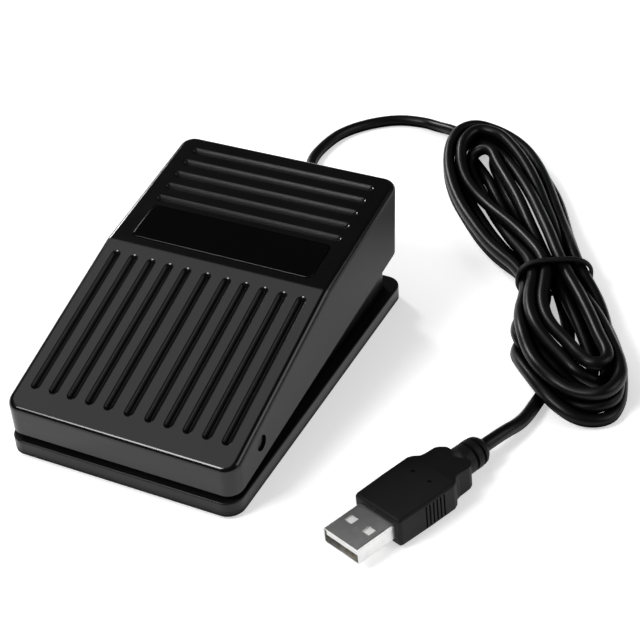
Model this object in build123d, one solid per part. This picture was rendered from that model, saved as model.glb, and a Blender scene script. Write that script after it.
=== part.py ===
from build123d import *
import math
import os

os.makedirs("parts", exist_ok=True)

# ---------------------------------------------------------------------------
# Driving dimensions, mm.  X to the right, Y towards the raised rear edge,
# Z up.  The origin is on the floor under the middle of the base.
# ---------------------------------------------------------------------------
foot_proud = 0.8          # rubber feet below the base
base_w, base_l = 67.0, 101.0
base_h = 4.65
base_corner = 4.6
floor_t = 2.0
z_base = foot_proud
z_floor = z_base + floor_t          # inside floor of the base
z_deck = z_base + base_h            # flat ledge round the base

skirt_x, skirt_y0, skirt_y1 = 30.0, -45.6, 45.6   # outer faces of the dust wall
skirt_t = 1.6
skirt_corner = 2.2

# side profile of the pedal cover (y, z)
cov_front_y = -49.43
cov_z0, cov_z1 = 7.1, 15.58
kink_y, kink_z = 4.4, 32.86
back_top_y, back_top_z = 49.95, 39.87
back_bot_y, back_bot_z = 48.41, 18.45
cov_w = 67.0
cov_wall, cov_top = 2.0, 2.2
cov_corner, cov_edge = 4.1, 1.7

pivot_y, pivot_z = -35.3, 13.9
pivot_hole_r, pin_r = 2.15, 2.10
travel_deg = 7.5

ramp_slope = (kink_z - cov_z1) / (kink_y - cov_front_y)
rear_slope = (back_top_z - kink_z) / (back_top_y - kink_y)
ramp_a, rear_a = math.atan(ramp_slope), math.atan(rear_slope)

cable_d = 3.6
cable_z = 5.4             # height of the cable where it leaves the base

export = {}


def box(x0, x1, y0, y1, z0, z1):
    return Pos((x0 + x1) / 2, (y0 + y1) / 2, (z0 + z1) / 2) * Box(x1 - x0, y1 - y0, z1 - z0)


def cyl_z(x, y, z0, z1, r):
    return Pos(x, y, (z0 + z1) / 2) * Cylinder(r, z1 - z0)


def cyl_x(x0, x1, y, z, r):
    return Pos((x0 + x1) / 2, y, z) * Rot(0, 90, 0) * Cylinder(r, x1 - x0)


def cyl_y(x, y0, y1, z, r):
    return Pos(x, (y0 + y1) / 2, z) * Rot(90, 0, 0) * Cylinder(r, y1 - y0)


def rounded_slab(x0, x1, y0, y1, z0, z1, r):
    s = RectangleRounded(x1 - x0, y1 - y0, r)
    return Pos((x0 + x1) / 2, (y0 + y1) / 2, z0) * extrude(s, z1 - z0)


def side_prism(points, half):
    """Extrude a (y, z) outline from x = -half to x = +half."""
    face = make_face(Polyline([(0, y, z) for y, z in points], close=True))
    return extrude(face, half, dir=(1, 0, 0), both=True)


def ramp_z(y):
    return cov_z1 + ramp_slope * (y - cov_front_y)


def rear_z(y):
    return kink_z + rear_slope * (y - kink_y)


def cover_bottom_z(y):
    return cov_z0 + (back_bot_z - cov_z0) / (back_bot_y - cov_front_y) * (y - cov_front_y)


def upper_inside_z(y):
    if y < kink_y:
        return ramp_z(y) - cov_top / math.cos(ramp_a)
    return rear_z(y) - cov_top / math.cos(rear_a)


# ---------------------------------------------------------------------------
# Base: floor tray with an outer ledge, and a dust wall inside the cover
# ---------------------------------------------------------------------------
hw, hl = base_w / 2, base_l / 2
base = rounded_slab(-hw, hw, -hl, hl, z_base, z_deck, base_corner)
base = fillet(base.edges().filter_by(GeomType.LINE).group_by(Axis.Z)[-1]
              + base.edges().filter_by(GeomType.CIRCLE).group_by(Axis.Z)[-1], 0.45)
base = chamfer(base.edges().group_by(Axis.Z)[0], 0.35)
# dust wall: sloping top edge 2.3 mm above the cover's lower edge
wall_solid = rounded_slab(-skirt_x, skirt_x, skirt_y0, skirt_y1, z_deck - 1, 40, skirt_corner)
zt0, zt1 = cover_bottom_z(skirt_y0) + 2.3, cover_bottom_z(skirt_y1) + 2.3
above = side_prism([(skirt_y0 - 5, zt0 - 0.58), (skirt_y1 + 5, zt1 + 0.58), (skirt_y1 + 5, 60), (skirt_y0 - 5, 60)], 50)
wall_solid -= above
base += wall_solid
# the ears carry the pivot pins
ear_r = 3.3
ears = cyl_x(-skirt_x, skirt_x, pivot_y, pivot_z, ear_r) + box(-skirt_x, skirt_x, pivot_y - ear_r, pivot_y + ear_r, z_deck - 1, pivot_z)
base += ears
inner = rounded_slab(-skirt_x + skirt_t, skirt_x - skirt_t, skirt_y0 + skirt_t, skirt_y1 - skirt_t, z_floor, 60, skirt_corner - 1.0)
base -= inner
# core-out channel under the ledge, stopped where the cable leaves
chan = rounded_slab(-hw + 1.8, hw - 1.8, -hl + 1.8, hl - 1.8, z_base - 1, z_deck - 2.0, base_corner - 1.8) \
    - rounded_slab(-skirt_x - 0.1, skirt_x + 0.1, skirt_y0 - 0.1, skirt_y1 + 0.1, z_base - 2, z_deck, skirt_corner)
chan -= box(-7, 7, skirt_y1 - 1, hl + 1, 0, z_deck)
for yy in (-30, 0, 30):
    chan -= box(-40, 40, yy - 0.6, yy + 0.6, 0, z_deck)
for xx in (-18, 18):
    chan -= box(xx - 0.6, xx + 0.6, -60, -40, 0, z_deck) + box(xx - 0.6, xx + 0.6, 40, 60, 0, z_deck)
base -= chan
# recesses for the rubber feet
foot_r, foot_in = 5.0, 0.7
feet_at = [(sx * 22.5, sy * 38.0) for sx in (-1, 1) for sy in (-1, 1)]
for fx, fy in feet_at:
    base -= cyl_z(fx, fy, z_base - 1, z_base + foot_in, foot_r + 0.05)
# pin holes
base -= cyl_x(-skirt_x - 1, skirt_x + 1, pivot_y, pivot_z, pin_r + 0.02)
# circuit board bosses
board_z0, board_t = 5.8, 1.6
board_z1 = board_z0 + board_t
board_x, board_y0, board_y1 = 17.0, -27.0, 13.0
board_holes = [(-14.0, -24.0), (14.0, -24.0), (-14.0, 10.0), (14.0, 10.0)]
for bx, by in board_holes:
    base += cyl_z(bx, by, z_floor - 0.2, board_z0, 2.6)
    base -= cyl_z(bx, by, z_floor + 0.2, board_z0 + 1, 1.03)
# spring posts
spring_at = [(-15.0, 30.0), (15.0, 30.0)]
spring_mid_r, wire_d = 3.25, 0.9
for sx, sy in spring_at:
    base += cyl_z(sx, sy, z_floor - 0.2, 8.6, 2.3)
# cable clamp bosses
clamp_y = 34.5
clamp_screw_x = 6.2
for sx in (-clamp_screw_x, clamp_screw_x):
    base += cyl_z(sx, clamp_y, z_floor - 0.2, 5.6, 2.2)
    base -= cyl_z(sx, clamp_y, z_floor + 0.2, 6.6, 0.88)
# saddle ribs that the cable lies on
for yy in (30.5, 38.5):
    base += box(-2.6, 2.6, yy - 0.6, yy + 0.6, z_floor - 0.2, cable_z - cable_d / 2 - 0.02)
# bridges that hold the cover's hooks down at rest
bridge_z = 14.9
for sx in (-1, 1):
    xa, xb = sorted((sx * (skirt_x - skirt_t + 0.4), sx * 26.9))
    base += box(xa, xb, 35.6, 42.4, bridge_z, bridge_z + 1.6)
# stiffening ribs on the floor
for sx in (-22.0, 22.0):
    base += box(sx - 0.6, sx + 0.6, -43.5, 26.0, z_floor - 0.2, z_floor + 1.2)
base += box(-22.0, 22.0, -34.6, -33.4, z_floor - 0.2, z_floor + 1.2)
# opening for the strain relief in the dust wall, and the notch in the ledge
boot_neck_r = 2.35
base -= cyl_y(0, skirt_y1 - skirt_t - 1, skirt_y1 + 1, cable_z, boot_neck_r + 0.04)
notch_z = cable_z - 3.05
base -= box(-3.2, 3.2, skirt_y1, hl + 1, notch_z, z_deck + 1)
export["base_housing"] = base

# pivot pins: flanged plugs pushed out through the ears
pins = []
for sx in (-1, 1):
    a, b, c = skirt_x - skirt_t - 1.0, skirt_x - skirt_t, 32.75
    p = cyl_x(b - 0.01, c, pivot_y, pivot_z, pin_r)
    p = chamfer(p.edges().filter_by(GeomType.CIRCLE).sort_by(Axis.X)[-1], 0.45)
    p += cyl_x(a, b - 0.01, pivot_y, pivot_z, 2.95)
    if sx < 0:
        p = mirror(p, Plane.YZ)
    pins.append(p)
export["hinge_pins"] = pins

feet = []
for fx, fy in feet_at:
    f = cyl_z(fx, fy, 0, z_base + foot_in, foot_r)
    f = fillet(f.edges().filter_by(GeomType.CIRCLE).sort_by(Axis.Z)[0], 0.35)
    feet.append(f)
export["rubber_feet"] = feet

# ---------------------------------------------------------------------------
# Pedal cover: hollow wedge, open below
# ---------------------------------------------------------------------------
outer_pts = [(cov_front_y, cov_z0), (cov_front_y, cov_z1), (kink_y, kink_z), (back_top_y, back_top_z), (back_bot_y, back_bot_z)]
cover = side_prism(outer_pts, cov_w / 2)
# plan corners
up_edges = [e for e in cover.edges() if abs(e.center().X) > cov_w / 2 - 0.1
            and (abs(e.center().Y - cov_front_y) < 0.1 or abs(e.center().Y - (back_top_y + back_bot_y) / 2) < 0.1)]
cover = fillet(up_edges, cov_corner)
# crease between the ramp and the rear face
crease = [e for e in cover.edges() if abs(e.center().Y - kink_y) < 0.05 and abs(e.center().Z - kink_z) < 0.05]
cover = fillet(crease, 5.0)


def on_top(e):
    c = e.center()
    zt = ramp_z(c.Y) if c.Y < kink_y else rear_z(c.Y)
    return c.Z > zt - 0.35


top_edges = []
for e in cover.edges():
    c = e.center()
    if on_top(e) and (abs(c.X) > cov_w / 2 - cov_corner or c.Y < cov_front_y + cov_corner or c.Y > back_top_y - cov_corner):
        if not (abs(c.Y - kink_y) < 2.0 and abs(c.X) < 5):
            top_edges.append(e)
cover = fillet(top_edges, cov_edge)

# cavity
bn = math.hypot(back_top_y - back_bot_y, back_top_z - back_bot_z)
back_dx = (back_top_y - back_bot_y) / bn


def back_inner_y(z):
    return back_bot_y + (z - back_bot_z) * (back_top_y - back_bot_y) / (back_top_z - back_bot_z) - cov_wall


fi = cov_front_y + cov_wall
yb_top = back_inner_y(37.0)
inner_pts = [(fi, 0.0), (fi, upper_inside_z(fi)), (kink_y + 0.3, upper_inside_z(kink_y + 0.3)),
             (yb_top, upper_inside_z(yb_top)), (back_inner_y(back_bot_z), back_bot_z), (back_inner_y(0), 0.0)]
cavity = side_prism(inner_pts, cov_w / 2 - cov_wall)
cav_edges = [e for e in cavity.edges() if abs(e.center().X) > cov_w / 2 - cov_wall - 0.1
             and e.length > 8 and (abs(e.center().Y - fi) < 0.1 or e.center().Y > 44)
             and abs((e @ 1 - e @ 0).normalized().Z) > 0.9]
cavity = fillet(cav_edges, cov_corner - cov_wall)
cover -= cavity
cover_inside = cavity

# eleven grooves down the ramp
ramp_groove = (1.25, 1.15, 0.22)          # half width, depth, half width of the floor
rear_groove = (1.15, 0.95, 0.18)


def groove(p0, p1, nrm, half, depth, flat):
    """V-shaped groove with a softened lip and pointed, rounded ends."""
    a, b, n = Vector(*p0), Vector(*p1), Vector(*nrm)
    d = (b - a).normalized()
    side = [(half + 0.75, 0.3), (half - 0.1, -0.13), (flat + 0.12, -depth + 0.1), (flat - 0.1, -depth)]
    pl = Plane(origin=a, x_dir=n.cross(d), z_dir=d)
    body = extrude(pl * make_face(Polyline([(x, y, 0) for x, y in side] + [(-x, y, 0) for x, y in reversed(side)], close=True)), (b - a).length)
    prof = [(0, 0.3, 0)] + [(x, y, 0) for x, y in side] + [(0, -depth, 0)]
    for o in (a, b):
        body += revolve(Plane(origin=o, x_dir=n.cross(d), z_dir=d) * make_face(Polyline(prof, close=True)), Axis(o, n))
    return body


n_ramp = (0, -math.sin(ramp_a), math.cos(ramp_a))
n_rear = (0, -math.sin(rear_a), math.cos(rear_a))
gx = [0.0] + [s * (5.97 + 5.46 * k) for k in range(5) for s in (-1, 1)]
for x in gx:
    y0, y1 = -41.8, -0.2
    cover -= groove((x, y0, ramp_z(y0)), (x, y1, ramp_z(y1)), n_ramp, *ramp_groove)
# five grooves across the rear face
for k in range(5):
    y = 22.7 + 5.2 * k
    cover -= groove((-27.0, y, rear_z(y)), (27.0, y, rear_z(y)), n_rear, *rear_groove)

# recess for the label
label_w, label_y0, label_y1, label_r = 54.6, 6.8, 19.9, 1.8
label_c = (label_y0 + label_y1) / 2
label_plane = Plane(origin=(0, label_c, rear_z(label_c)), x_dir=(1, 0, 0), z_dir=n_rear)
label_h = (label_y1 - label_y0) / math.cos(rear_a)
recess_d = 0.30
cover -= extrude(label_plane * RectangleRounded(label_w, label_h, label_r), 2, dir=n_rear) \
    + extrude(label_plane * RectangleRounded(label_w, label_h, label_r), recess_d, dir=tuple(-c for c in n_rear))

# pivot bosses and holes in the side walls
for sx in (-1, 1):
    xa, xb = sorted((sx * (skirt_x + 0.3), sx * (cov_w / 2 - cov_wall + 0.2)))
    cover += cyl_x(xa, xb, pivot_y, pivot_z, 3.3)
cover -= cyl_x(-40, 40, pivot_y, pivot_z, pivot_hole_r)


def hang(solid):
    """Keep the part of a hanging rib that lies inside the cavity, let into the skin by 0.3 mm."""
    return solid & cover_inside


# switch post
post_y, post_z = -4.5, 22.2
post = box(-2.0, 2.0, post_y - 1.4, post_y + 1.4, post_z + 1.0, 29.2) + cyl_x(-2.0, 2.0, post_y, post_z + 1.0, 1.0)
post += box(-0.6, 0.6, post_y - 5.0, post_y + 5.0, post_z + 2.0, 32.0)
post_keep = side_prism([(fi, 15), (fi, upper_inside_z(fi) + 0.4), (kink_y, upper_inside_z(kink_y) + 0.4), (kink_y, 15)], 5)
cover += post & post_keep
# spring bosses with a locating pin
cup_z = 24.0
cup_keep = side_prism([(15, 15), (15, upper_inside_z(15) + 0.4), (45, upper_inside_z(45) + 0.4), (45, 15)], 40)
for sx, sy in spring_at:
    cup = cyl_z(sx, sy, cup_z, 40, 4.5) + cyl_z(sx, sy, 20.6, cup_z, 2.2)
    cup += box(sx - 0.6, sx + 0.6, sy - 9, sy + 9, 31, 40) + box(sx - 9, sx + 9, sy - 0.6, sy + 0.6, 31, 40)
    cover += cup & cup_keep
# hooks at the rear that catch under the base's bridges
toe_z1 = bridge_z - 0.25
for sx in (-1, 1):
    xa, xb = sorted((sx * 24.6, sx * 26.5))
    hook = box(xa, xb, 36.0, 42.0, toe_z1 - 1.5, 40)
    tip = make_face(Polyline([(sx * 24.6, 36.0, toe_z1 - 1.5), (sx * 26.6, 36.0, toe_z1 - 1.5), (sx * 28.0, 36.0, toe_z1 - 0.7),
                              (sx * 28.0, 36.0, toe_z1), (sx * 24.6, 36.0, toe_z1)], close=True))
    hook += extrude(tip, 6.0, dir=(0, 1, 0))
    cover += hook & cup_keep
# stiffening ribs under the skin
rib_keep = side_prism([(-40, 10), (-40, upper_inside_z(-40) + 0.4), (kink_y, upper_inside_z(kink_y) + 0.4), (16, upper_inside_z(16) + 0.4), (16, 10)], 40)
for sx in (-19.0, 19.0):
    rib = side_prism([(-30, upper_inside_z(-30) - 2.2), (-30, upper_inside_z(-30) + 3), (16, upper_inside_z(16) + 3), (16, upper_inside_z(16) - 2.2),
                      (kink_y, upper_inside_z(kink_y) - 2.2)], 0.6)
    cover += (Pos(sx, 0, 0) * rib) & rib_keep
# clearance for the cable in the rear edge
cover -= box(-4.3, 4.3, 44, 55, 10, back_bot_z + 2.6)
export["pedal_cover"] = cover

label = extrude(label_plane * RectangleRounded(label_w - 0.5, label_h - 0.5, label_r - 0.25), 0.10, dir=n_rear) \
    + extrude(label_plane * RectangleRounded(label_w - 0.5, label_h - 0.5, label_r - 0.25), recess_d, dir=tuple(-c for c in n_rear))
label = fillet(label.faces().sort_by(Axis((0, label_c, 0), n_rear))[-1].edges(), 0.16)
export["label_plate"] = label

# ---------------------------------------------------------------------------
# Circuit board and its parts
# ---------------------------------------------------------------------------
board = rounded_slab(-board_x, board_x, board_y0, board_y1, board_z0, board_z1, 1.2)
for bx, by in board_holes:
    board -= cyl_z(bx, by, 5, 8, 1.25)
term_y = (-17.5, -10.0, -2.5)
for ty in term_y:
    board -= cyl_z(0, ty, 5, 8, 0.62)
for hx in (-3.0, -1.0, 1.0, 3.0):
    board -= cyl_z(hx, 8.6, 5, 8, 0.42)
for cx in (9.0 - 2.44, 9.0 + 2.44):
    board -= cyl_z(cx, -17.0, 5, 8, 0.35)
export["circuit_board"] = board

screws = []
for bx, by in board_holes:
    s = cyl_z(bx, by, board_z1, board_z1 + 1.4, 2.1)
    s = fillet(s.edges().filter_by(GeomType.CIRCLE).sort_by(Axis.Z)[-1], 0.6)
    s += cyl_z(bx, by, z_floor + 0.5, board_z1, 1.0)
    s -= box(bx - 1.2, bx + 1.2, by - 0.22, by + 0.22, board_z1 + 0.7, board_z1 + 2)
    s -= box(bx - 0.22, bx + 0.22, by - 1.2, by + 1.2, board_z1 + 0.7, board_z1 + 2)
    screws.append(s)
export["board_screws"] = screws

chip = box(-13.6, -6.1, -15.2, -4.9, board_z1 + 0.15, board_z1 + 2.4)
chip = chamfer(chip.edges().group_by(Axis.Z)[-1], 0.25)
chip -= cyl_z(-12.6, -14.2, board_z1 + 2.2, board_z1 + 3, 0.45)
for k in range(8):
    yy = -10.05 + (k - 3.5) * 1.27
    for sx in (-1, 1):
        x0 = -9.85 + sx * 3.7
        foot = box(min(x0, x0 + sx * 0.7), max(x0, x0 + sx * 0.7), yy - 0.2, yy + 0.2, board_z1 + 1.0, board_z1 + 1.25)
        foot += box(min(x0 + sx * 0.5, x0 + sx * 0.75), max(x0 + sx * 0.5, x0 + sx * 0.75), yy - 0.2, yy + 0.2, board_z1, board_z1 + 1.25)
        foot += box(min(x0 + sx * 0.5, x0 + sx * 1.5), max(x0 + sx * 0.5, x0 + sx * 1.5), yy - 0.2, yy + 0.2, board_z1, board_z1 + 0.25)
        chip += foot
export["controller_chip"] = chip

xtal = Pos(9.0, -17.0, board_z1) * extrude(SlotOverall(10.6, 4.2), 0.6)
xtal += Pos(9.0, -17.0, board_z1 + 0.6) * extrude(SlotOverall(9.8, 3.4), 2.9)
xtal = fillet(xtal.edges().group_by(Axis.Z)[-1], 0.4)
for cx in (9.0 - 2.44, 9.0 + 2.44):
    xtal += cyl_z(cx, -17.0, board_z0 - 1.0, board_z1, 0.22)
export["crystal"] = xtal

caps = []
for cx, cy, r, h in ((9.5, -7.0, 2.5, 7.0), (9.5, -0.6, 2.0, 5.4)):
    c = cyl_z(cx, cy, board_z1, board_z1 + h, r)
    c = fillet(c.edges().filter_by(GeomType.CIRCLE), 0.3)
    caps.append(c)
export["capacitors"] = caps

rs = []
for cx, cy, turn in ((-8.0, 3.0, 0), (-11.0, 3.0, 0), (-8.0, 6.6, 0), (13.6, -12.0, 1), (5.6, -23.5, 1), (-5.4, -23.5, 1)):
    a, b = (0.62, 1.0) if turn == 0 else (1.0, 0.62)
    rs.append(box(cx - a, cx + a, cy - b, cy + b, board_z1, board_z1 + 0.55))
export["chip_resistors"] = rs

hdr_y0, hdr_y1 = 6.2, 11.0
header = box(-5.0, 5.0, hdr_y0, hdr_y1, board_z1, board_z1 + 6.0)
header -= box(-4.2, 4.2, hdr_y0 + 0.8, hdr_y1 - 0.8, board_z1 + 4.2, board_z1 + 7)
for hx in (-3.0, -1.0, 1.0, 3.0):
    header += box(hx - 0.3, hx + 0.3, 8.3, 8.9, board_z0 - 0.9, board_z1) + box(hx - 0.3, hx + 0.3, 8.3, 8.9, board_z1 + 4.1, board_z1 + 5.6)
    header -= cyl_y(hx, hdr_y1 - 1.6, hdr_y1 + 1, board_z1 + 2.4, 0.66)
export["wire_header"] = header

# microswitch ---------------------------------------------------------------
sw_y0, sw_y1, sw_x = -20.0, -0.2, 3.2
sw_z1 = board_z1 + 9.2
lev_y, lev_z = -18.6, sw_z1 + 1.0
body = box(-sw_x, sw_x, sw_y0, sw_y1, board_z1, sw_z1)
body = chamfer(body.edges().filter_by(Axis.Y), 0.3)
for ex in (-1, 1):
    xa, xb = sorted((ex * 2.1, ex * sw_x))
    body += box(xa, xb, lev_y - 0.9, lev_y + 0.9, sw_z1 - 0.5, lev_z) + cyl_x(xa, xb, lev_y, lev_z, 0.9)
body -= cyl_x(-5, 5, lev_y, lev_z, 0.56)
plun_y, plun_r = -13.4, 1.2
body -= cyl_z(0, plun_y, board_z1 + 2.6, sw_z1 + 1, plun_r + 0.06)
for hy in (-15.2, -5.7):
    for ex in (-1, 1):
        body -= cyl_x(min(ex * 4, ex * 2.4), max(ex * 4, ex * 2.4), hy, board_z1 + 2.9, 1.15)
body -= box(-sw_x - 1, -sw_x + 0.15, sw_y0 - 1, sw_y1 + 1, board_z1 + 6.0, board_z1 + 6.25)
body -= box(sw_x - 0.15, sw_x + 1, sw_y0 - 1, sw_y1 + 1, board_z1 + 6.0, board_z1 + 6.25)
export["switch_body"] = body

lever_a = math.radians(17.0)
lever_len, lever_t = 15.6, 0.4
strip = box(-1.8, 1.8, lev_y + 0.3, lev_y + lever_len, lev_z - lever_t / 2, lev_z + lever_t / 2)
strip += cyl_x(-1.8, 1.8, lev_y, lev_z, 0.85)
strip += cyl_x(-3.1, 3.1, lev_y, lev_z, 0.5)
strip += cyl_x(-1.8, 1.8, lev_y + lever_len, lev_z - 0.35, 0.55)
lever = Pos(0, lev_y, lev_z) * Rot(math.degrees(lever_a), 0, 0) * Pos(0, -lev_y, -lev_z) * strip
export["switch_lever"] = lever

plun_z = lev_z + (plun_y - lev_y) * math.tan(lever_a) - lever_t / 2 / math.cos(lever_a) - 0.30
plun_top = plun_z
plunger = cyl_z(0, plun_y, board_z1 + 4.4, plun_top, plun_r)
plunger = fillet(plunger.edges().filter_by(GeomType.CIRCLE).sort_by(Axis.Z)[-1], 0.8)
export["switch_plunger"] = plunger

export["switch_terminals"] = [box(-0.45, 0.45, ty - 0.2, ty + 0.2, board_z0 - 0.9, board_z1) for ty in term_y]

# return springs --------------------------------------------------------------
spring_z0, spring_z1 = z_floor + wire_d / 2 + 0.02, cup_z - wire_d / 2 - 0.06
turns = 7.0
pitch = (spring_z1 - spring_z0) / turns
springs = []
for sx, sy in spring_at:
    path = Pos(sx, sy, spring_z0) * Helix(pitch=pitch, height=spring_z1 - spring_z0, radius=spring_mid_r)
    sec = Plane(origin=path @ 0, z_dir=path % 0) * Circle(wire_d / 2)
    springs.append(sweep(sec, path=path, is_frenet=True))
export["return_springs"] = springs

# ---------------------------------------------------------------------------
# Cable inside the base, its clamp and wires
# ---------------------------------------------------------------------------
jacket_y0 = 27.5
boot_in_y0 = skirt_y1 - skirt_t - 1.4
inner_cable = cyl_y(0, jacket_y0, boot_in_y0, cable_z, cable_d / 2)
export["inner_cable"] = inner_cable

clamp = box(-9.0, 9.0, clamp_y - 2.6, clamp_y + 2.6, 5.6, 8.6)
clamp = fillet(clamp.edges().filter_by(Axis.Z), 1.6)
clamp -= cyl_y(0, clamp_y - 5, clamp_y + 5, cable_z, cable_d / 2 + 0.02)
for sx in (-clamp_screw_x, clamp_screw_x):
    clamp -= cyl_z(sx, clamp_y, 5, 9, 1.1)
export["cable_clamp"] = clamp

cs = []
for sx in (-clamp_screw_x, clamp_screw_x):
    s = cyl_z(sx, clamp_y, 8.6, 9.9, 1.9)
    s = fillet(s.edges().filter_by(GeomType.CIRCLE).sort_by(Axis.Z)[-1], 0.5)
    s += cyl_z(sx, clamp_y, z_floor + 0.6, 8.6, 0.85)
    s -= box(sx - 1.1, sx + 1.1, clamp_y - 0.2, clamp_y + 0.2, 9.3, 11) + box(sx - 0.2, sx + 0.2, clamp_y - 1.1, clamp_y + 1.1, 9.3, 11)
    cs.append(s)
export["clamp_screws"] = cs


def tube(points, radii, r):
    path = FilletPolyline(*points, radius=radii)
    sec = Plane(origin=path @ 0, z_dir=path % 0) * Circle(r)
    return sweep(sec, path=path), path


def corner_radii(points, share=0.45):
    out = []
    for a, b, c in zip(points, points[1:], points[2:]):
        u, v = Vector(*b) - Vector(*a), Vector(*c) - Vector(*b)
        turn = math.radians(u.get_angle(v))
        out.append(share * min(u.length, v.length) / math.tan(turn / 2))
    return out


def closed_radii(points, share=0.45):
    n = len(points)
    ring = [(x, y, 0) for x, y in points]
    return [corner_radii([ring[i - 1], ring[i], ring[(i + 1) % n]], share)[0] for i in range(n)]


wire_r = 0.55
hz = board_z1 + 2.4
for name, x0, dz, x1 in (("wire_red", -0.95, 0.0, -3.0), ("wire_white", 0.0, 0.95, -1.0), ("wire_green", 0.0, -0.95, 1.0), ("wire_black", 0.95, 0.0, 3.0)):
    pts = [(x0, jacket_y0, cable_z + dz), (x0 * 1.1, 23.6, cable_z + dz + 0.2), (x1 * 0.9, 17.6, hz - 1.2 + dz * 0.2), (x1, 14.0, hz), (x1, hdr_y1 - 1.5, hz)]
    t, _ = tube(pts, corner_radii(pts, 0.4), wire_r)
    export[name] = t

# strain relief pushed through the dust wall ----------------------------------
boot_y1 = 64.0
prof = [(0, skirt_y1), (2.9, skirt_y1), (2.9, 49.6), (2.75, 50.0)]
y = 50.0
r = 2.75
while y < 61.0:
    prof += [(r, y), (r, y + 1.5), (r - 0.45, y + 1.5), (r - 0.45, y + 2.2)]
    y += 2.2
    r -= 0.08
prof += [(r, y), (r - 0.1, boot_y1 - 0.5), (r - 0.4, boot_y1), (0, boot_y1)]
pp = [prof[0]]
for q in prof[1:]:
    if abs(q[0] - pp[-1][0]) + abs(q[1] - pp[-1][1]) > 1e-6:
        pp.append(q)
face = make_face(Polyline([(rr, yy, 0) for rr, yy in pp], close=True))
boot = Pos(0, 0, cable_z) * revolve(face, Axis.Y)
boot += cyl_y(0, skirt_y1 - skirt_t, skirt_y1, cable_z, boot_neck_r)
flange = cyl_y(0, boot_in_y0, skirt_y1 - skirt_t, cable_z, 3.7) & box(-5, 5, 30, 60, z_floor + 0.04, 20)
boot += flange
export["cable_boot"] = boot

# ---------------------------------------------------------------------------
# Plug: built along local +Y from its mouth, then laid on the floor
# ---------------------------------------------------------------------------
plug_x, plug_y = 61.98, -51.1
plug_head, plug_roll, plug_pitch = 248.34, 3.8, 0.0
plug_half_h = 4.05


def plug_frame(zc):
    a, b, r = math.radians(plug_head), math.radians(plug_pitch), math.radians(plug_roll)
    ax = Vector(math.cos(a) * math.cos(b), math.sin(a) * math.cos(b), math.sin(b))
    sd = Vector(-math.sin(a), math.cos(a), 0)
    up = ax.cross(sd)
    if up.Z < 0:
        up = up * -1
    sd2 = sd * math.cos(r) + up * math.sin(r)
    up2 = sd * -math.sin(r) + up * math.cos(r)
    return Plane(origin=(plug_x, plug_y, zc), x_dir=tuple(sd2), z_dir=tuple(up2))


shell_w, shell_h, shell_t = 12.0, 4.5, 0.3
mould_s0 = 11.8


def slot_y(w, h, y0, y1, r):
    """Rounded rectangular bar along Y."""
    return Pos(0, y0, 0) * Rot(-90, 0, 0) * extrude(RectangleRounded(w, h, r), y1 - y0)


shell = slot_y(shell_w, shell_h, 0, mould_s0 + 6.4, 0.6) - slot_y(shell_w - 2 * shell_t, shell_h - 2 * shell_t, -1, 20, 0.32)
for hx in (-3.0, 3.0):
    shell -= box(hx - 1.2, hx + 1.2, 5.2, 7.6, -5, 5)
tongue = box(-5.35, 5.35, 0.35, mould_s0 + 6.2, 0.05, 1.90)
tongue -= box(-2.0, 2.0, mould_s0 + 5.0, mould_s0 + 7, -3, 3)
contacts = []
for cx, s0 in ((-3.5, 0.9), (-1.0, 1.9), (1.0, 1.9), (3.5, 0.9)):
    contacts.append(box(cx - 0.5, cx + 0.5, s0, mould_s0 + 4.0, -0.10, 0.05))

# grip outline: straight sides, then a step in to the narrower block
mould_pts = [(7.35, mould_s0), (7.7, mould_s0 + 0.9), (8.0, 22.0), (8.05, 29.9), (7.5, 31.2), (6.15, 32.6), (5.85, 34.0), (5.9, 37.4), (5.5, 38.5), (4.1, 39.9)]
outline = [(x, s) for x, s in mould_pts] + [(-x, s) for x, s in reversed(mould_pts)]
mould = Pos(0, 0, -plug_half_h) * extrude(make_face(Polyline([(x, s, 0) for x, s in outline], close=True)), 2 * plug_half_h)
mould = fillet(mould.edges().filter_by(Axis.Z), 0.45)
mould = fillet(mould.edges().group_by(Axis.Z)[-1] + mould.edges().group_by(Axis.Z)[0], 0.75)
# the block behind the grip slopes down to the flex rings, above and below
for sg in (-1, 1):
    wedge = extrude(Plane.YZ * make_face(Polyline((30.6, sg * (plug_half_h + 0.01), 0), (42.0, sg * 2.75, 0), (42.0, sg * 8.0, 0), (30.6, sg * 8.0, 0), close=True)), 12, both=True)
    mould -= wedge
# flex rings where the cable enters
ring_prof = [(0, 36.5), (2.6, 36.5), (3.3, 38.6), (3.85, 39.4), (4.0, 40.0), (4.0, 42.35), (3.25, 42.5), (3.25, 43.1), (4.0, 43.25), (4.0, 44.9), (3.25, 45.05), (3.25, 45.65),
             (3.9, 45.8), (3.7, 46.7), (3.1, 47.5), (2.5, 48.1), (0, 48.1)]
rings = revolve(make_face(Polyline([(rr, s, 0) for rr, s in ring_prof], close=True)), Axis.Y)
mould += rings
for k in range(6):
    s = 20.2 + 1.2 * k
    for ex in (-1, 1):
        xa, xb = sorted((ex * 7.6, ex * 9.0))
        mould -= box(xa, xb, s, s + 0.5, -3.2, 3.2)
for tx in (-2.86, 2.86):
    mould -= cyl_z(tx, 26.9, plug_half_h - 0.35, plug_half_h + 1, 0.5)
# room for the shell, tongue and contacts
mould -= slot_y(shell_w, shell_h, mould_s0 - 1, mould_s0 + 6.4, 0.6)
plug_len = 48.1

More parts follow.
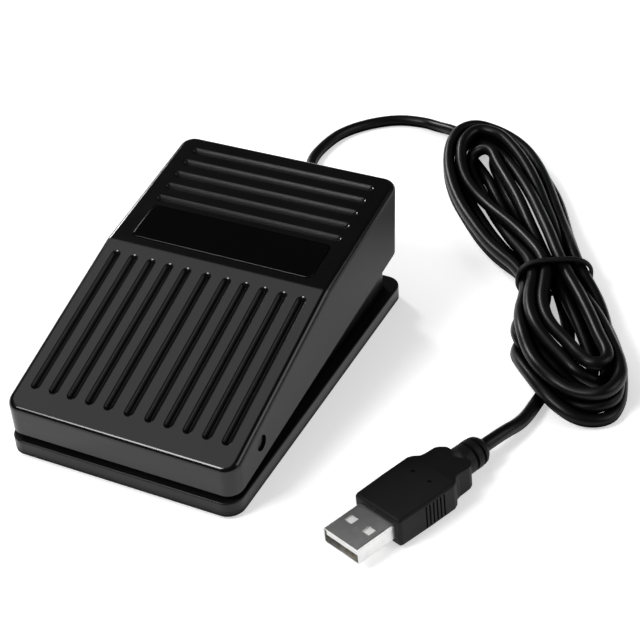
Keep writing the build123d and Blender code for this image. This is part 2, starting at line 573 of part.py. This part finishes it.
local = {"plug_overmould": mould, "plug_shell": shell, "plug_tongue": tongue, "plug_contacts": contacts}
low = min((plug_frame(0).location * mould).bounding_box().min.Z, 0)
plug_zc = -low + 0.02
frame_p = plug_frame(plug_zc)
for name, s in local.items():
    export[name] = [frame_p.location * q for q in s] if isinstance(s, list) else frame_p.location * s
plug_end = frame_p.location * Pos(0, plug_len, 0)
pe = plug_end.position
pdir = (frame_p.location * Pos(0, plug_len + 1, 0)).position - pe
print("plug centre height", round(plug_zc, 3), "cable enters at", tuple(round(v, 3) for v in pe), "direction", tuple(round(v, 4) for v in pdir))

# ---------------------------------------------------------------------------
# Cable outside: lead to the hank, hank, tail to the plug, tie
# ---------------------------------------------------------------------------
r_c = cable_d / 2
zf = r_c
lead_pts = [(0, boot_y1, cable_z), (0, 72.0, cable_z), (-4.6, 80.6, 3.5), (-12.2, 88.4, zf), (-19.2, 95.8, zf), (-22.9, 105.0, zf), (-22.7, 115.0, zf), (-20.8, 123.6, zf),
            (-15.2, 131.6, zf), (-6.9, 138.0, zf), (2.5, 139.4, zf), (12.0, 137.9, zf), (18.0, 135.6, zf)]
pd = pdir.normalized()
tail_pts = [(84.4, 27.5, zf), (85.4, 18.0, zf), (85.0, 8.6, 2.5), (pe.X + pd.X * 7.4, pe.Y + pd.Y * 7.4, pe.Z + pd.Z * 7.4), (pe.X, pe.Y, pe.Z)]
lead, lead_path = tube(lead_pts, corner_radii(lead_pts), r_c)
tail, tail_path = tube(tail_pts, corner_radii(tail_pts), r_c)
for nm, pts, path, s in (("lead", lead_pts, lead_path, lead), ("tail", tail_pts, tail_path, tail)):
    print(nm, "radii", [round(v, 1) for v in corner_radii(pts)], "length", round(path.length, 1),
          "volume ratio", round(s.volume / (path.length * math.pi * r_c ** 2), 4), "zmin", round(s.bounding_box().min.Z, 3))
export["usb_cable_lead"] = lead
export["usb_cable_tail"] = tail

hank_pts = [(14.5, 137.5), (17.5, 143.5), (24.0, 145.5), (31.0, 143.5), (39.0, 138.0), (53.0, 120.5), (62.0, 106.5), (69.5, 92.0), (76.0, 80.0), (81.6, 73.4),
            (88.0, 62.5), (97.5, 46.5), (105.0, 32.0), (108.1, 21.0), (106.4, 14.3), (100.5, 9.8), (94.0, 11.0), (86.5, 17.5), (79.5, 24.5), (74.0, 32.0),
            (70.0, 41.5), (65.5, 52.5), (62.4, 60.8), (56.5, 66.6), (49.0, 74.5), (38.5, 86.5), (28.5, 98.5), (20.5, 110.5), (15.5, 124.5)]
hank_z0, hank_z1 = 0.85, 11.6
hank_outline = FilletPolyline(*[(x, y, 0) for x, y in hank_pts], radius=closed_radii(hank_pts), close=True)
hank = Pos(0, 0, hank_z0) * extrude(make_face(hank_outline), hank_z1 - hank_z0)
hank = fillet(hank.edges().group_by(Axis.Z)[-1], 3.6)
hank = fillet(hank.edges().group_by(Axis.Z)[0], 1.4)
# the waist is squeezed by the tie
tie_c = Vector(73.1, 66.1, 0)
tie_u = Vector(0.8660, 0.5000, 0)         # across the hank
tie_n = Vector(0.5000, -0.8660, 0)        # along the hank
waist = Plane(origin=(tie_c.X, tie_c.Y, (hank_z0 + hank_z1) / 2), x_dir=tuple(tie_u), z_dir=tuple(tie_n))
ring_w, ring_h = 20.0, hank_z1 - hank_z0 + 0.1
keep = extrude(waist * RectangleRounded(ring_w - 0.1, ring_h - 0.1, 4.9), 1.4, both=True)
zone = extrude(waist * Rectangle(60, 60), 1.4, both=True)
hank = (hank - zone) + (hank & keep)
# sockets where the lead and the tail run in among the strands
for pts in (lead_pts, tail_pts):
    hank -= tube(pts, corner_radii(pts), r_c + 0.03)[0]
export["cable_hank"] = hank
tie = extrude(waist * RectangleRounded(ring_w + 1.5, ring_h + 1.5, 5.65), 0.75, both=True) \
    - extrude(waist * RectangleRounded(ring_w, ring_h, 4.9), 2, both=True)
export["cable_tie"] = tie

# ---------------------------------------------------------------------------
for name, s in export.items():
    if isinstance(s, list):
        s = Compound(children=[q if isinstance(q, (Solid, Compound)) else q for q in s])
    export_step(s, f"parts/{name}.step")
print(len(export), "nodes")
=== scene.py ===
import math

import bmesh
import bpy
from mathutils import Matrix, Vector


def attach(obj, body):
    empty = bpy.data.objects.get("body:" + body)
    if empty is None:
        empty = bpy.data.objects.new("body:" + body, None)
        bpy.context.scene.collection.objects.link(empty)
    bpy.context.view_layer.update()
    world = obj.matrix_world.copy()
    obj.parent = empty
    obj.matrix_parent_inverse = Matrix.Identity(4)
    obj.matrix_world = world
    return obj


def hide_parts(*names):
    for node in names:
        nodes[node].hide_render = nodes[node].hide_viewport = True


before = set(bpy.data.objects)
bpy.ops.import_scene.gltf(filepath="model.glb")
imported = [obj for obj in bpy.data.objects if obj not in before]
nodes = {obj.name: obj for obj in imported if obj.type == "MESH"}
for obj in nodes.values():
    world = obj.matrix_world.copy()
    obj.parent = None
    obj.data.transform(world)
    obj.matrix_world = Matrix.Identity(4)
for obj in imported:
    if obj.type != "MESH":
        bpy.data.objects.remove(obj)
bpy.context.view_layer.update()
scene = bpy.context.scene
scene.view_settings.view_transform = "Standard"
scene.view_settings.look = "None"
MM = 0.001


def link(obj):
    scene.collection.objects.link(obj)
    return obj


# ---------------------------------------------------------------------------
# Camera, at the photograph's angle
# ---------------------------------------------------------------------------
az, el, roll = math.radians(28.41), math.radians(37.31), math.radians(-3.89)
back = Vector((math.sin(az) * math.cos(el), -math.cos(az) * math.cos(el), math.sin(el)))
right = Vector((math.cos(az), math.sin(az), 0.0))
up = back.cross(right)
right2 = right * math.cos(roll) + up * math.sin(roll)
up2 = up * math.cos(roll) - right * math.sin(roll)
target = Vector((16.79, 29.62, 0.8)) * MM
cam = bpy.data.cameras.new("camera")
cam.sensor_width = 36.0
cam.lens = 1570.18 / 640 * 36.0
cam.clip_start, cam.clip_end = 0.01, 20.0
camera = link(bpy.data.objects.new("camera", cam))
camera.matrix_world = Matrix.Translation(target + back * 443.15 * MM) @ Matrix((right2, up2, back)).transposed().to_4x4()
scene.camera = camera

# ---------------------------------------------------------------------------
# Cable: the route's points, in mm, then the hank's turns
# ---------------------------------------------------------------------------
CABLE_D = 3.6
lead_route = [(0, 64, 5.4), (0, 72, 5.4), (-4.6, 80.6, 3.5), (-12.2, 88.4, 1.8), (-19.2, 95.8, 1.8), (-22.9, 105.0, 1.8), (-22.7, 115.0, 1.8),
              (-20.8, 123.6, 1.8), (-15.2, 131.6, 1.8), (-6.9, 138.0, 1.8), (2.5, 139.4, 1.8)]
hank_turns = [
    (8.2, 136.9, 2.7), (14.0, 133.6, 4.7), (20.2, 130.5, 5.4), (26.8, 128.2, 5.6), (33.0, 124.8, 5.9), (38.1, 120.0, 6.5),
    (42.7, 114.8, 7.3), (47.0, 109.4, 7.9), (51.2, 103.8, 8.5), (55.3, 98.1, 8.9), (59.1, 92.3, 9.3), (62.9, 86.4, 9.7),
    (66.7, 80.6, 9.9), (70.4, 74.6, 9.9), (74.3, 68.8, 9.8), (78.5, 63.2, 9.6), (82.8, 57.7, 9.7), (86.8, 52.0, 9.9),
    (90.8, 46.2, 9.9), (94.6, 40.3, 9.9), (98.7, 34.8, 10.0), (99.4, 30.8, 9.9), (96.3, 28.7, 9.9), (92.5, 30.6, 9.9),
    (87.7, 35.3, 9.6), (82.1, 39.7, 9.5), (77.6, 45.0, 9.5), (74.6, 51.4, 9.6), (73.0, 58.2, 9.9), (71.1, 64.9, 9.7),
    (67.4, 70.9, 9.4), (62.8, 76.1, 8.7), (58.1, 81.1, 7.7), (52.9, 85.8, 7.1), (47.5, 90.2, 6.3), (42.3, 94.8, 5.4),
    (37.1, 99.4, 4.9), (32.0, 104.2, 5.2), (27.7, 109.8, 5.8), (24.6, 115.9, 7.3), (22.7, 122.4, 8.9), (24.7, 129.8, 9.7),
    (32.3, 129.5, 9.5), (37.7, 124.9, 9.4), (42.7, 120.0, 9.2), (47.3, 114.8, 8.7), (51.6, 109.3, 8.1), (55.6, 103.5, 7.6),
    (59.3, 97.6, 7.3), (63.0, 91.7, 7.4), (66.5, 85.6, 7.4), (69.8, 79.5, 7.0), (73.3, 73.4, 6.8), (77.3, 67.7, 6.5),
    (81.7, 62.3, 6.6), (86.3, 57.0, 7.2), (90.6, 51.5, 7.8), (94.6, 45.8, 8.0), (98.5, 40.0, 8.2), (102.3, 34.1, 8.3),
    (104.7, 27.4, 8.7), (102.7, 20.3, 8.2), (95.4, 19.1, 7.0), (88.6, 20.6, 8.1), (82.9, 24.8, 8.3), (78.6, 30.3, 7.4),
    (74.8, 36.1, 8.1), (71.6, 42.3, 7.7), (69.4, 48.9, 6.4), (68.2, 55.8, 6.0), (65.9, 62.4, 6.2), (60.9, 67.4, 6.3),
    (55.2, 71.5, 5.8), (49.9, 75.9, 5.3), (44.9, 80.8, 5.3), (40.0, 85.9, 5.3), (35.4, 91.1, 5.2), (31.1, 96.6, 5.3),
    (27.2, 102.4, 5.5), (23.7, 108.5, 5.9), (20.9, 114.8, 6.4), (18.9, 121.5, 7.4), (19.1, 128.4, 8.8), (22.3, 134.9, 7.8),
    (29.1, 136.6, 5.8), (35.7, 133.9, 5.5), (41.3, 129.8, 5.4), (46.1, 124.6, 5.4), (50.3, 119.0, 5.5), (54.1, 113.1, 5.7),
    (57.6, 107.1, 5.9), (61.1, 101.1, 6.0), (64.7, 95.1, 5.9), (68.4, 89.1, 6.1), (71.9, 83.1, 7.2), (75.0, 77.0, 8.2),
    (78.7, 71.0, 8.1), (83.3, 65.8, 7.1), (87.8, 60.6, 5.8), (91.4, 54.7, 5.2), (94.4, 48.4, 4.8), (97.6, 42.1, 4.6),
    (100.8, 35.9, 4.8), (103.6, 29.5, 5.1), (104.7, 22.2, 5.2), (98.9, 18.0, 3.7), (91.7, 19.5, 3.8), (86.1, 23.6, 5.1),
    (81.7, 28.8, 3.4), (77.3, 34.1, 3.1), (72.1, 38.7, 5.0), (69.8, 45.3, 3.3), (69.9, 52.3, 2.6), (69.5, 59.4, 3.1),
    (66.0, 65.5, 3.4), (60.2, 69.5, 2.9), (54.6, 73.5, 2.2), (49.2, 78.0, 1.8), (44.1, 82.8, 1.8), (39.4, 88.0, 1.8),
    (34.8, 93.3, 1.8), (30.4, 98.6, 1.8), (26.5, 104.5, 1.8), (23.0, 110.6, 1.8), (20.1, 116.9, 1.8), (17.4, 123.4, 1.8),
    (16.3, 130.3, 1.8), (17.6, 137.3, 1.8), (22.9, 142.4, 1.8), (30.1, 141.3, 1.8), (36.0, 137.4, 1.8), (41.1, 132.6, 1.8),
    (45.7, 127.3, 1.8), (50.0, 121.8, 1.8), (54.3, 116.4, 1.8), (58.5, 110.7, 1.8), (62.0, 104.7, 1.8), (65.2, 98.5, 1.8),
    (68.5, 92.3, 1.9), (71.6, 86.0, 2.4), (74.6, 79.8, 3.3), (77.6, 73.5, 4.3), (81.2, 67.5, 4.1), (86.0, 62.6, 2.6),
    (90.5, 57.3, 1.8), (94.5, 51.5, 1.8), (98.1, 45.6, 1.8), (101.2, 39.3, 1.8), (103.5, 32.7, 1.8), (105.2, 25.9, 1.8),
    (104.9, 18.6, 1.8), (98.7, 14.6, 2.4), (91.8, 15.6, 4.2), (85.9, 19.1, 5.7), (81.0, 24.2, 5.2), (76.6, 29.4, 4.0),
    (73.0, 35.2, 1.9), (73.2, 42.4, 1.8), (73.2, 49.3, 1.8), (73.4, 56.3, 2.0), (71.9, 63.2, 2.7), (67.6, 68.8, 2.2),
    (61.6, 72.5, 1.8), (56.1, 76.8, 1.8), (50.8, 81.4, 1.8), (45.8, 86.3, 1.8), (41.2, 91.5, 1.8), (36.6, 96.7, 1.8),
    (32.2, 102.2, 1.8), (28.5, 108.1, 1.8), (25.2, 114.3, 1.8), (22.4, 120.7, 1.8), (20.0, 127.3, 1.8), (20.7, 134.7, 1.8),
    (27.3, 138.2, 1.8), (33.7, 134.6, 1.8), (38.7, 129.8, 1.8), (43.3, 124.5, 1.8), (47.6, 119.0, 1.8), (51.5, 113.2, 1.8),
    (55.1, 107.2, 1.8), (58.8, 101.2, 1.8), (62.4, 95.3, 1.8), (65.9, 89.2, 1.8), (69.2, 83.0, 1.8), (72.4, 76.8, 2.0),
    (75.5, 70.6, 2.8), (79.2, 64.7, 2.6), (84.0, 59.6, 1.9), (88.4, 54.1, 1.8), (92.1, 48.2, 1.8), (95.2, 42.0, 1.8),
    (98.8, 35.9, 1.8), (99.3, 28.6, 3.8), (92.7, 27.3, 7.3), (86.8, 31.3, 8.2), (81.1, 35.2, 9.1), (76.3, 40.3, 9.6),
    (72.8, 46.4, 9.4), (70.5, 53.0, 9.3), (69.1, 59.9, 9.1), (66.4, 66.3, 8.8), (62.3, 71.9, 7.5), (58.1, 77.2, 5.7),
    (53.9, 82.6, 4.2), (49.7, 88.1, 3.1), (45.3, 93.5, 2.3), (41.1, 99.0, 1.9), (36.8, 104.6, 1.8), (32.4, 110.0, 2.1),
    (28.0, 115.2, 3.3), (26.5, 119.1, 4.8), (29.0, 122.1, 7.3), (33.1, 121.2, 8.2), (37.3, 115.3, 7.6), (41.6, 109.9, 7.6),
    (45.9, 104.4, 7.7), (50.2, 98.8, 7.8), (54.2, 93.1, 7.5), (58.1, 87.3, 7.4), (62.2, 81.7, 6.9), (66.3, 76.0, 6.4),
    (70.4, 70.3, 6.6), (74.6, 64.7, 6.4), (78.9, 59.2, 5.8), (83.0, 53.6, 5.4), (87.1, 48.0, 4.8), (91.0, 42.2, 3.9),
    (94.7, 36.5, 2.6), (95.8, 28.9, 2.1), (88.9, 27.2, 4.8), (83.0, 31.3, 5.7), (78.2, 36.4, 6.1), (74.6, 42.4, 5.5),
    (72.8, 49.1, 5.3), (71.9, 56.1, 5.8), (70.5, 62.9, 6.3), (67.1, 69.1, 5.7), (63.1, 74.6, 4.2), (58.8, 79.9, 2.4),
    (55.1, 85.8, 1.8), (51.2, 91.6, 1.8), (47.0, 97.1, 1.8), (42.8, 102.7, 1.8), (38.8, 108.4, 1.8), (34.5, 114.0, 1.8),
    (29.7, 119.1, 1.8), (24.9, 124.1, 1.8), (24.2, 128.7, 1.9), (27.3, 131.5, 1.8), (31.1, 129.7, 1.8), (33.2, 122.7, 1.8),
    (36.9, 116.8, 2.3), (40.8, 111.1, 3.4), (44.4, 105.1, 4.1), (48.4, 99.4, 4.3), (52.8, 93.9, 4.1), (57.1, 88.4, 3.7),
    (61.4, 82.9, 3.2), (65.8, 77.6, 2.9), (70.2, 72.1, 2.7), (74.0, 66.3, 2.6), (77.7, 60.3, 2.1), (81.1, 54.2, 1.8),
    (83.9, 47.8, 1.8), (85.9, 41.1, 1.8), (86.9, 34.1, 1.8), (86.1, 27.2, 1.8),
]
tail_route = [(85.4, 18.0, 1.8), (85.0, 8.6, 2.5), (82.465, 0.482, 4.546), (79.734, -6.396, 4.546)]
route = lead_route + hank_turns + tail_route

curve = bpy.data.curves.new("usb_cable", "CURVE")
curve.dimensions = "3D"
curve.resolution_u = 6
curve.bevel_depth = 1.0
curve.bevel_resolution = 6
curve.use_fill_caps = True
spline = curve.splines.new("NURBS")
spline.points.add(len(route) - 1)
for p, q in zip(spline.points, route):
    p.co = (q[0] * MM, q[1] * MM, q[2] * MM, 1.0)
    p.radius = CABLE_D / 2 * MM
spline.order_u = 3
spline.use_endpoint_u = True
cable = link(bpy.data.objects.new("usb_cable", curve))


def centreline(obj):
    """Points of a curve's own line, read from its spline."""
    d = obj.data
    keep = d.bevel_depth
    d.bevel_depth = 0.0
    bpy.context.view_layer.update()
    m = bpy.data.meshes.new_from_object(obj)
    pts = [v.co.copy() for v in m.vertices]
    bpy.data.meshes.remove(m)
    d.bevel_depth = keep
    return pts


# ---------------------------------------------------------------------------
# Materials
# ---------------------------------------------------------------------------
class Mat:
    """A small helper for node materials."""

    def __init__(self, name):
        self.m = bpy.data.materials.new(name)
        self.m.use_nodes = True
        self.t = self.m.node_tree
        self.t.nodes.clear()
        self.out = self.t.nodes.new("ShaderNodeOutputMaterial")
        self.b = self.t.nodes.new("ShaderNodeBsdfPrincipled")
        self.t.links.new(self.b.outputs[0], self.out.inputs[0])
        self.tc = self.t.nodes.new("ShaderNodeTexCoord")

    def set(self, **kw):
        for k, v in kw.items():
            s = self.b.inputs[k.replace("_", " ")]
            s.default_value = (*v, 1.0) if isinstance(v, tuple) and len(v) == 3 else v
        return self

    def link(self, a, b):
        self.t.links.new(a, b)

    def noise(self, scale, detail=3.0, rough=0.5, stretch=None, kind="noise"):
        n = self.t.nodes.new("ShaderNodeTexNoise" if kind == "noise" else "ShaderNodeTexVoronoi")
        n.inputs["Scale"].default_value = scale
        if kind == "noise":
            n.inputs["Detail"].default_value = detail
            n.inputs["Roughness"].default_value = rough
        src = self.tc.outputs["Object"]
        if stretch:
            mp = self.t.nodes.new("ShaderNodeMapping")
            mp.inputs["Scale"].default_value = stretch
            self.link(src, mp.inputs["Vector"])
            src = mp.outputs["Vector"]
        self.link(src, n.inputs["Vector"])
        return n.outputs["Fac"] if kind == "noise" else n.outputs["Distance"]

    def ramp(self, fac, stops):
        r = self.t.nodes.new("ShaderNodeValToRGB")
        e = r.color_ramp.elements
        while len(e) < len(stops):
            e.new(0.5)
        for k, (pos, col) in zip(e, stops):
            k.position = pos
            k.color = (*col, 1.0) if isinstance(col, tuple) else (col, col, col, 1.0)
        self.link(fac, r.inputs["Fac"])
        return r.outputs["Color"]

    def span(self, fac, lo, hi):
        r = self.t.nodes.new("ShaderNodeMapRange")
        r.inputs["To Min"].default_value = lo
        r.inputs["To Max"].default_value = hi
        self.link(fac, r.inputs["Value"])
        return r.outputs["Result"]

    def bump(self, fac, dist, strength=1.0, below=None):
        b = self.t.nodes.new("ShaderNodeBump")
        b.inputs["Distance"].default_value = dist
        b.inputs["Strength"].default_value = strength
        self.link(fac, b.inputs["Height"])
        if below is not None:
            self.link(below, b.inputs["Normal"])
        return b.outputs["Normal"]

    def done(self, colour=None, rough=None, normal=None):
        if colour is not None:
            self.link(colour, self.b.inputs["Base Color"])
        if rough is not None:
            self.link(rough, self.b.inputs["Roughness"])
        if normal is not None:
            self.link(normal, self.b.inputs["Normal"])
        return self.m


def plastic(name, dark, light, r0, r1, grain=1400.0, depth=0.000006, wave=60.0, wave_depth=0.00004, ior=1.5, coat=0.0, crevice_shade=0.0, side=0.0):
    k = Mat(name).set(IOR=ior, Coat_Weight=coat, Coat_Roughness=0.06)
    fine = k.noise(grain, 4.0, 0.6)
    slow = k.noise(wave, 2.0, 0.5)
    col = k.ramp(slow, [(0.35, dark), (0.68, light)])
    rough = k.span(k.noise(230.0, 5.0, 0.62), r0, r1)
    n = k.bump(slow, wave_depth, 0.5)
    n = k.bump(fine, depth, 0.8, n)
    if crevice_shade:
        # painted shade: ambient occlusion turns the reflections down in grooves and gaps
        ao = k.t.nodes.new("ShaderNodeAmbientOcclusion")
        ao.samples = 8
        ao.inputs["Distance"].default_value = crevice_shade
        r = k.t.nodes.new("ShaderNodeMapRange")
        r.inputs["From Min"].default_value = 0.62
        r.inputs["From Max"].default_value = 0.97
        r.inputs["To Min"].default_value = 0.0
        r.inputs["To Max"].default_value = 0.5
        k.link(ao.outputs["AO"], r.inputs["Value"])
        k.link(r.outputs["Result"], k.b.inputs["Specular IOR Level"])
        if side:
            # the side walls are a little more satin than the top
            x = k.t.nodes.new("ShaderNodeSeparateXYZ")
            k.link(k.tc.outputs["Normal"], x.inputs["Vector"])
            m = k.t.nodes.new("ShaderNodeMath")
            m.operation = "ABSOLUTE"
            k.link(x.outputs["X"], m.inputs[0])
            q = k.t.nodes.new("ShaderNodeMapRange")
            q.inputs["From Min"].default_value = 0.80
            q.inputs["From Max"].default_value = 0.98
            q.inputs["To Max"].default_value = side
            k.link(m.outputs["Value"], q.inputs["Value"])
            k.link(rough, q.inputs["To Min"])
            rough = q.outputs["Result"]
        # painted shade, continued: the same occlusion makes grooves and gaps rough and dull
        q = k.t.nodes.new("ShaderNodeMapRange")
        q.inputs["From Min"].default_value = 0.60
        q.inputs["From Max"].default_value = 0.90
        q.inputs["To Min"].default_value = 0.95
        k.link(ao.outputs["AO"], q.inputs["Value"])
        k.link(rough, q.inputs["To Max"])
        rough = q.outputs["Result"]
    return k.done(col, rough, n)


def metal(name, dark, light, r0, r1, stretch=(1.0, 1.0, 1.0), grain=900.0, depth=0.000004):
    k = Mat(name).set(Metallic=1.0)
    g = k.noise(grain, 5.0, 0.65, stretch)
    col = k.ramp(k.noise(110.0, 3.0, 0.6), [(0.3, dark), (0.7, light)])
    return k.done(col, k.span(g, r0, r1), k.bump(g, depth, 0.7))


M = {}
# the crevice values give cover, base and cable painted shade in their grooves and gaps
M["cover"] = plastic("cover_gloss_black", (0.0016, 0.0016, 0.0017), (0.0028, 0.0028, 0.0029), 0.13, 0.20, grain=2600, depth=0.0000026, wave=45, wave_depth=0.00003, ior=1.46, crevice_shade=0.004, side=0.5)
M["base"] = plastic("base_gloss_black", (0.004, 0.004, 0.0042), (0.0062, 0.0062, 0.0064), 0.24, 0.36, grain=2600, depth=0.000004, wave=45, wave_depth=0.00003, ior=1.33, crevice_shade=0.004)
M["label"] = plastic("label_gloss_black", (0.0005, 0.0005, 0.0005), (0.0009, 0.0009, 0.0009), 0.05, 0.10, grain=900, depth=0.0000008, wave=40, wave_depth=0.00001, ior=1.35)
M["pin"] = plastic("pin_black", (0.006, 0.006, 0.006), (0.012, 0.012, 0.012), 0.4, 0.55, grain=2200, depth=0.000006)
M["foot"] = plastic("foot_rubber", (0.010, 0.010, 0.010), (0.018, 0.018, 0.018), 0.72, 0.9, grain=1500, depth=0.00002)
M["cable"] = plastic("cable_jacket", (0.0014, 0.0014, 0.0015), (0.0026, 0.0026, 0.0028), 0.30, 0.42, grain=1800, depth=0.000007, wave=130, wave_depth=0.00005, ior=1.31, crevice_shade=0.005)
M["mould"] = plastic("moulded_pvc", (0.0024, 0.0024, 0.0026), (0.0044, 0.0044, 0.0046), 0.48, 0.62, grain=2300, depth=0.000010, wave=90, wave_depth=0.00004, ior=1.28)
M["shell"] = metal("shell_nickel", (0.62, 0.62, 0.62), (0.80, 0.80, 0.795), 0.24, 0.40, (1, 1, 1), 900, 0.000007)
M["tongue"] = plastic("tongue_white", (0.72, 0.72, 0.71), (0.84, 0.84, 0.83), 0.35, 0.5, grain=1800, depth=0.000006)
M["gold"] = metal("contact_gold", (0.80, 0.55, 0.20), (0.92, 0.70, 0.32), 0.2, 0.34)
M["steel"] = metal("zinc_steel", (0.52, 0.53, 0.55), (0.68, 0.69, 0.70), 0.25, 0.42)
M["spring"] = metal("spring_steel", (0.40, 0.40, 0.42), (0.58, 0.58, 0.60), 0.25, 0.40, (1, 1, 6))
M["lever"] = metal("lever_steel", (0.60, 0.60, 0.62), (0.74, 0.74, 0.75), 0.22, 0.38, (8, 1, 1))
M["brass"] = metal("terminal_brass", (0.62, 0.50, 0.28), (0.78, 0.66, 0.42), 0.28, 0.42)
M["board"] = plastic("board_mask", (0.010, 0.085, 0.028), (0.018, 0.125, 0.045), 0.30, 0.45, grain=900, depth=0.00001, wave=220)
M["epoxy"] = plastic("chip_epoxy", (0.010, 0.010, 0.011), (0.022, 0.022, 0.023), 0.50, 0.68, grain=1900, depth=0.00001)
M["ceramic"] = plastic("resistor_ceramic", (0.02, 0.02, 0.022), (0.05, 0.05, 0.052), 0.35, 0.5, grain=1900)
M["nylon"] = plastic("header_nylon", (0.62, 0.59, 0.50), (0.74, 0.71, 0.63), 0.38, 0.52, grain=1300)
M["switch"] = plastic("switch_case", (0.010, 0.010, 0.011), (0.020, 0.020, 0.021), 0.42, 0.58, grain=1700)
M["button"] = plastic("button_red", (0.34, 0.015, 0.012), (0.46, 0.03, 0.022), 0.3, 0.42)
M["sleeve"] = plastic("cap_sleeve", (0.008, 0.010, 0.035), (0.014, 0.018, 0.06), 0.25, 0.38)
M["red"] = plastic("insulation_red", (0.32, 0.010, 0.008), (0.46, 0.02, 0.016), 0.3, 0.45)
M["white"] = plastic("insulation_white", (0.62, 0.62, 0.60), (0.74, 0.74, 0.72), 0.3, 0.45)
M["green"] = plastic("insulation_green", (0.008, 0.16, 0.03), (0.016, 0.24, 0.05), 0.3, 0.45)
M["black"] = plastic("insulation_black", (0.006, 0.006, 0.006), (0.012, 0.012, 0.012), 0.3, 0.45)

finish_of = {
    "base_housing": "base", "hinge_pins": "pin", "rubber_feet": "foot", "circuit_board": "board", "board_screws": "steel", "controller_chip": "epoxy",
    "crystal": "steel", "capacitors": "sleeve", "chip_resistors": "ceramic", "wire_header": "nylon", "switch_body": "switch",
    "switch_terminals": "brass", "return_springs": "spring", "inner_cable": "cable", "cable_clamp": "base", "clamp_screws": "steel",
    "wire_red": "red", "wire_white": "white", "wire_green": "green", "wire_black": "black", "cable_boot": "mould", "cable_tie": "mould",
    "plug_overmould": "mould", "plug_shell": "shell", "plug_tongue": "tongue", "plug_contacts": "gold", "pedal_cover": "cover",
    "label_plate": "label", "switch_lever": "lever", "switch_plunger": "button", "usb_cable_lead": "cable", "usb_cable_tail": "cable", "cable_hank": "cable",
}
for name, obj in nodes.items():
    obj.data.materials.clear()
    obj.data.materials.append(M[finish_of[name]])
cable.data.materials.append(M["cable"])

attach(cable, "base")
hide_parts("usb_cable_lead", "usb_cable_tail", "cable_hank")

# ---------------------------------------------------------------------------
# Tie round the hank
# ---------------------------------------------------------------------------
tie_c = Vector((73.1, 66.1, 6.42))
tie_u = Vector((0.8660, 0.5000, 0.0)).normalized()
tie_n = Vector((0.5000, -0.8660, 0.0)).normalized()
TIE_A, TIE_B = 10.5, 5.95          # half width and half height of its middle line
TIE_T, TIE_W = 0.58, 0.86           # half thickness and half width of the band
bm = bmesh.new()
loops = []
N, K = 120, 14
line = []
for i in range(N):
    t = 2 * math.pi * i / N
    c, q = math.cos(t), math.sin(t)
    b_ = math.copysign(abs(c) ** (2 / 2.7), c) * TIE_A
    z_ = math.copysign(abs(q) ** (2 / 2.7), q) * TIE_B
    line.append((b_, z_, 0.22 * math.sin(2 * t + 0.6) + 0.12 * math.sin(5 * t)))
for i in range(N):
    b0, z0, _ = line[i - 1]
    b1, z1, _ = line[(i + 1) % N]
    d = Vector((b1 - b0, z1 - z0)).normalized()
    nb, nz = d.y, -d.x
    b_, z_, s_ = line[i]
    ring = []
    for k in range(K):
        w = 2 * math.pi * k / K
        o = TIE_T * math.copysign(abs(math.cos(w)) ** 0.75, math.cos(w))
        v = TIE_W * math.copysign(abs(math.sin(w)) ** 0.75, math.sin(w))
        pt = tie_c + tie_u * (b_ + nb * o) + Vector((0, 0, z_ + nz * o)) + tie_n * (s_ + v)
        pt.z = max(pt.z, 0.04)
        ring.append(bm.verts.new(pt * MM))
    loops.append(ring)
for i in range(N):
    for k in range(K):
        bm.faces.new((loops[i][k], loops[i][(k + 1) % K], loops[(i + 1) % N][(k + 1) % K], loops[(i + 1) % N][k]))
bmesh.ops.recalc_face_normals(bm, faces=bm.faces)
for f in bm.faces:
    f.smooth = True
tm = bpy.data.meshes.new("hank_tie")
bm.to_mesh(tm)
bm.free()
tie = link(bpy.data.objects.new("hank_tie", tm))
tie.data.materials.append(M["mould"])
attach(tie, "base")
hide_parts("cable_tie")

# ---------------------------------------------------------------------------
# Floor and light
# ---------------------------------------------------------------------------
bm = bmesh.new()
bmesh.ops.create_grid(bm, x_segments=8, y_segments=8, size=4.0)
fm = bpy.data.meshes.new("floor")
bm.to_mesh(fm)
bm.free()
floor = link(bpy.data.objects.new("floor", fm))
k = Mat("floor_white").set(Roughness=0.75, Specular_IOR_Level=0.25, Emission_Color=(1.0, 1.0, 1.0), Emission_Strength=0.50)
floor.data.materials.append(k.done(k.ramp(k.noise(3.0, 2.0), [(0.3, (0.90, 0.90, 0.90)), (0.7, (0.93, 0.93, 0.93))])))

centre = Vector((0.025, 0.045, 0.015))


def area(name, direction, dist, w, h, radiance, aim=centre, spin=0.0):
    lamp = bpy.data.lights.new(name, "AREA")
    lamp.shape = "RECTANGLE"
    lamp.size, lamp.size_y = w, h
    lamp.energy = radiance * math.pi * w * h
    o = link(bpy.data.objects.new(name, lamp))
    d = Vector(direction).normalized()
    o.location = aim + d * dist
    o.rotation_mode = "QUATERNION"
    o.rotation_quaternion = d.to_track_quat("Z", "Y")
    return o


area("key", (-0.78, 0.44, 0.44), 1.8, 0.30, 0.30, 42.0)
area("front", (-0.40, -0.58, 0.71), 1.76, 0.50, 0.50, 20.0)
area("side", (0.80, 0.20, 0.56), 2.0, 1.5, 1.1, 2.2)
area("top", (-0.36, -0.12, 0.92), 1.92, 1.76, 1.15, 1.1)
world = bpy.data.worlds.new("world")
world.use_nodes = True
bg = world.node_tree.nodes["Background"]
bg.inputs["Color"].default_value = (1, 1, 1, 1)
bg.inputs["Strength"].default_value = 0.06
scene.world = world

pts = centreline(cable)
length = sum((a - b).length for a, b in zip(pts, pts[1:]))
print("cable length", round(length, 4))
